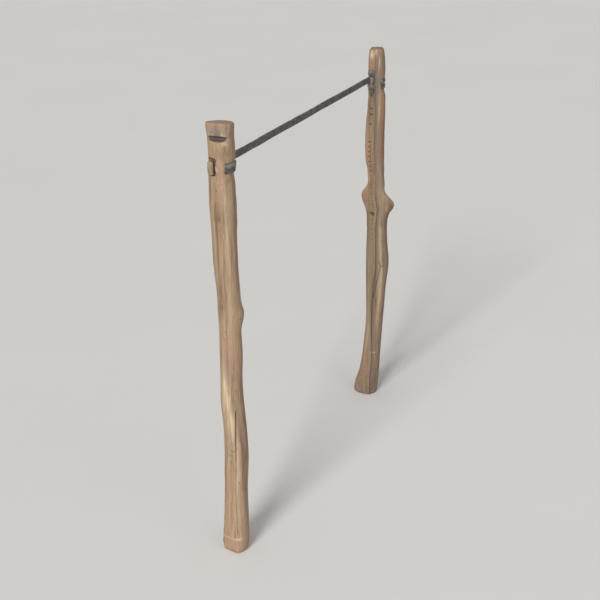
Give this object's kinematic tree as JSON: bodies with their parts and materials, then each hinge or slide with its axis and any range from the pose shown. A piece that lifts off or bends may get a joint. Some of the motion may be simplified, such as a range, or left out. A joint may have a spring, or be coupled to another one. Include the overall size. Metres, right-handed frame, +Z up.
{
  "type": "harvesting sticks",
  "caption": "Whittled branch sticks tied near their tops by a flat leather strap, held one in each hand to pinch and strip ears of grain.",
  "frame": {"origin": "on the ground, under the middle of the bounding box", "axes": "+X from the near stick to the far stick along the strap, +Y across the strap, +Z up the sticks"},
  "size_m": [0.4461, 0.0466, 0.52],
  "materials": {
    "near_wood": "bare peeled branch, smooth from handling",
    "far_wood": "bare peeled branch, greyer and more cracked",
    "peg_wood": "bare split wood",
    "strap_leather": "worn grey leather, matt"
  },
  "bodies": {
    "strap_middle": {"near_middle": "strap_leather"},
    "near_run": {"near_run": "strap_leather"},
    "near_tab": {"near_tab": "strap_leather"},
    "near_stick": {"near_stick": "near_wood", "near_loop": "strap_leather", "near_wedge": "peg_wood"},
    "far_middle": {"far_middle": "strap_leather"},
    "far_run": {"far_run": "strap_leather"},
    "far_tab": {"far_tab": "strap_leather"},
    "far_stick": {"far_stick": "far_wood", "far_wrap_lower": "strap_leather", "far_wrap_upper": "strap_leather", "far_knot": "strap_leather", "far_tail": "strap_leather", "far_wedge": "peg_wood"}
  },
  "joints": [
    {"name": "strap_fold", "type": "hinge", "parent": "strap_middle", "child": "near_run", "pos_m": [-0.02001, 0.00799, 0.479], "axis": [0, 0, 1], "range_deg": [-94, 94]},
    {"name": "near_fold", "type": "hinge", "parent": "near_run", "child": "near_tab", "pos_m": [-0.17199, 0.00555, 0.479], "axis": [0, 0, 1], "range_deg": [-94, 94]},
    {"name": "near_tilt", "type": "hinge", "parent": "near_tab", "child": "near_stick", "pos_m": [-0.18799, 0.00529, 0.479], "axis": [-0.0161, 0.9999, 0], "range_deg": [-3, 20]},
    {"name": "strap_twist", "type": "hinge", "parent": "strap_middle", "child": "far_middle", "pos_m": [-0.00201, 0.00828, 0.479], "axis": [0.9999, 0.0161, 0], "range_deg": [-60, 60]},
    {"name": "far_middle_fold", "type": "hinge", "parent": "far_middle", "child": "far_run", "pos_m": [0.01598, 0.00857, 0.479], "axis": [0, 0, 1], "range_deg": [-94, 94]},
    {"name": "far_fold", "type": "hinge", "parent": "far_run", "child": "far_tab", "pos_m": [0.16796, 0.01101, 0.479], "axis": [0, 0, 1], "range_deg": [-94, 94]},
    {"name": "far_tilt", "type": "hinge", "parent": "far_tab", "child": "far_stick", "pos_m": [0.18396, 0.01126, 0.479], "axis": [0.0161, -0.9999, 0], "range_deg": [-3, 20]}
  ],
  "couplings": [
    {"joint": "near_fold", "follows": "strap_fold", "ratio": -1},
    {"joint": "far_middle_fold", "follows": "strap_fold", "ratio": -1},
    {"joint": "far_fold", "follows": "strap_fold", "ratio": 1}
  ]
}
